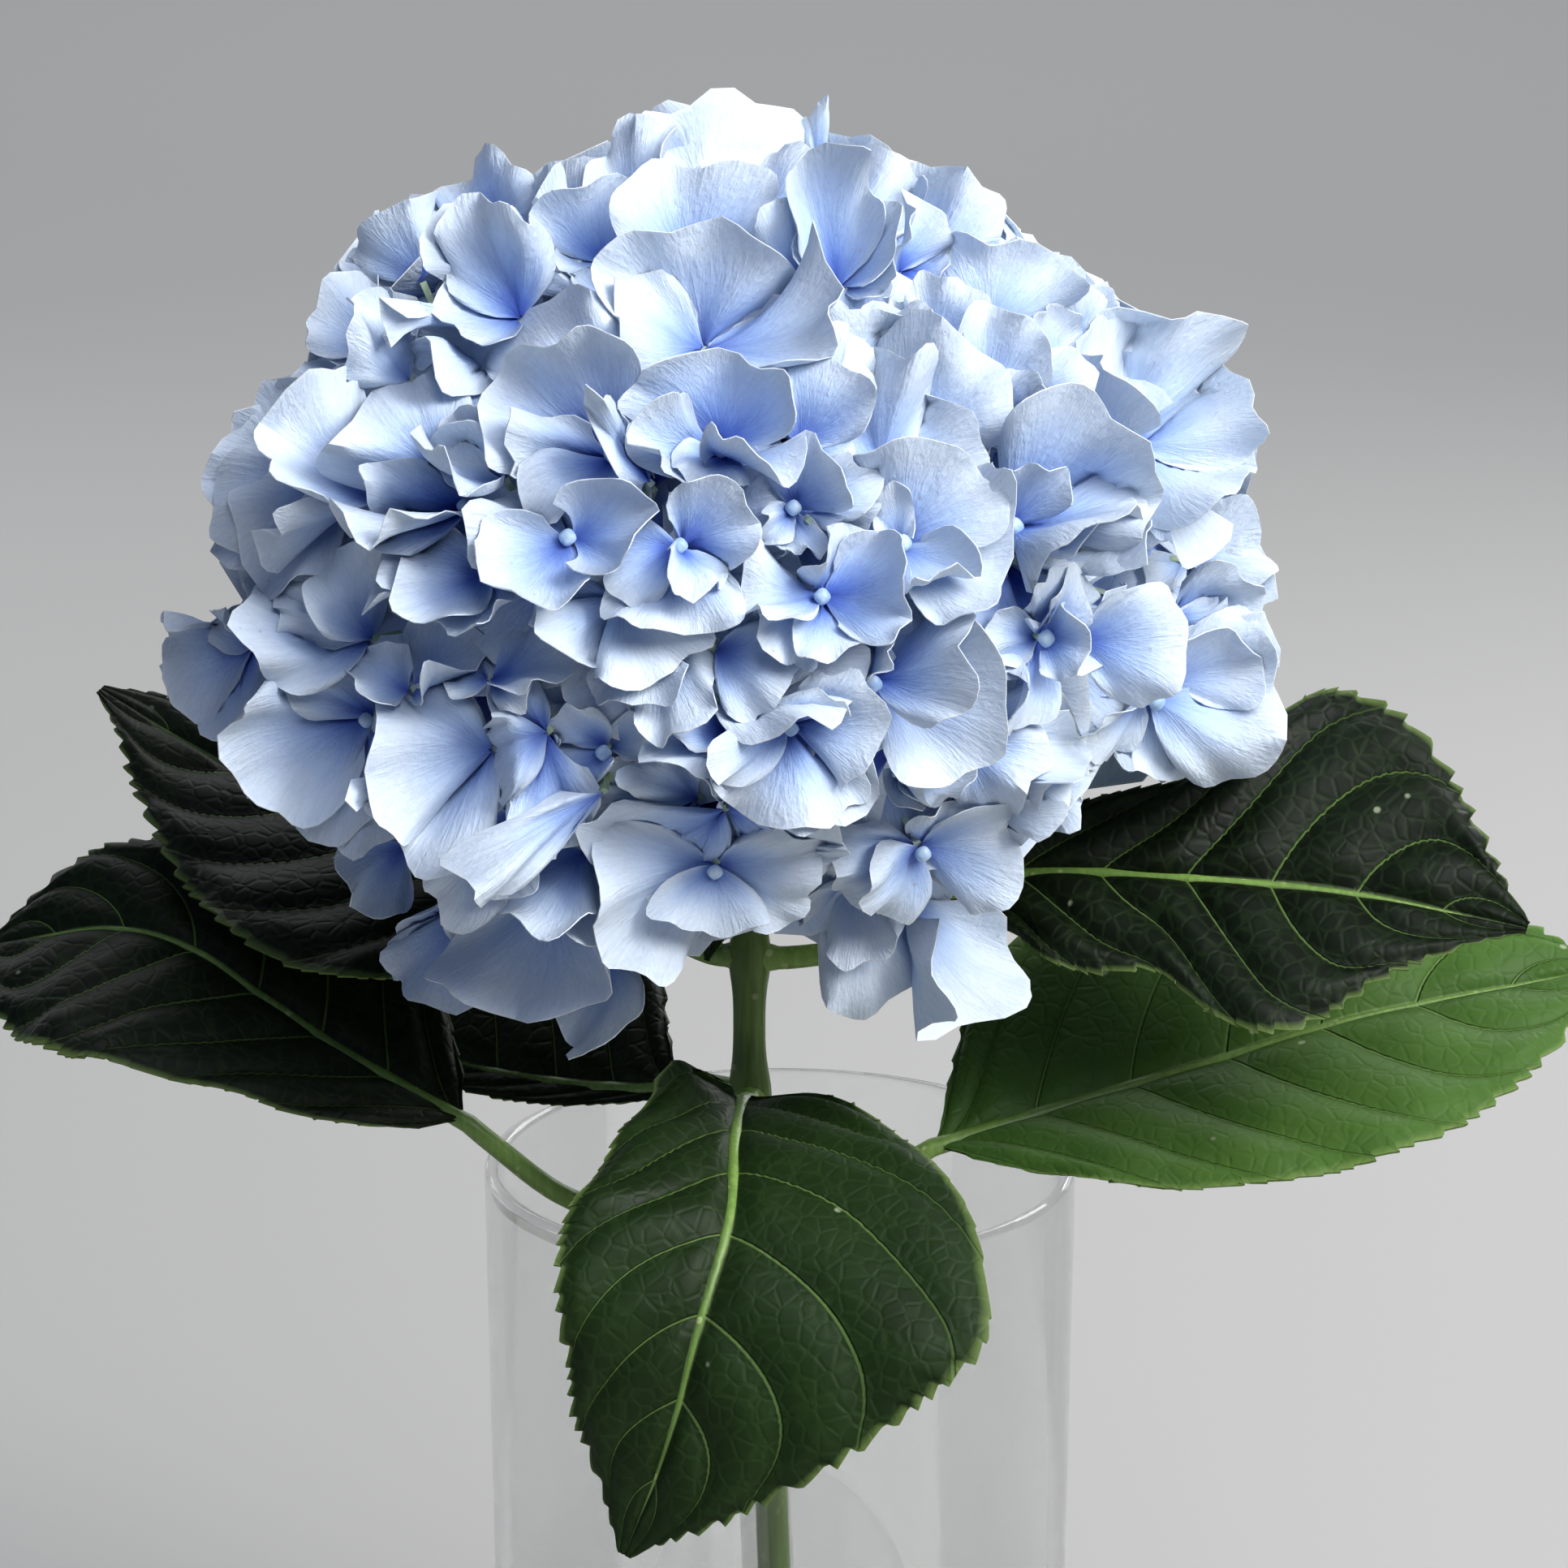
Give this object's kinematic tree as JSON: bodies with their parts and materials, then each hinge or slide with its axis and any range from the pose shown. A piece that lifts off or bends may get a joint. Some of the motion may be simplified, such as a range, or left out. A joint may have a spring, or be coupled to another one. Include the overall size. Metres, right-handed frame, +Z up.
{
  "type": "hydrangea in a glass vase",
  "caption": "Cut hydrangea standing in water in a clear straight glass vase: a rounded pale blue flower head on a green stem above broad toothed leaves.",
  "frame": {"origin": "centre of the vase's underside", "axes": "+Z up the vase, -Y towards the viewer, the side where a leaf droops over the rim, +X to the viewer's right"},
  "size_m": [0.2786, 0.1697, 0.382],
  "materials": {
    "glass": "clear, polished",
    "water": "clear",
    "stem": "matte, green, faintly speckled",
    "leaf": "satin, veined",
    "sepal": "matte, finely veined"
  },
  "bodies": {
    "root": {"vase": "glass", "water": "water", "stem": "stem", "leaf_upper_right": "leaf", "leaf_upper_left": "leaf", "leaf_front": "leaf", "leaf_back": "leaf", "leaf_lower_right": "leaf", "leaf_lower_left": "leaf", "flower_head": "sepal"}
  },
  "joints": []
}
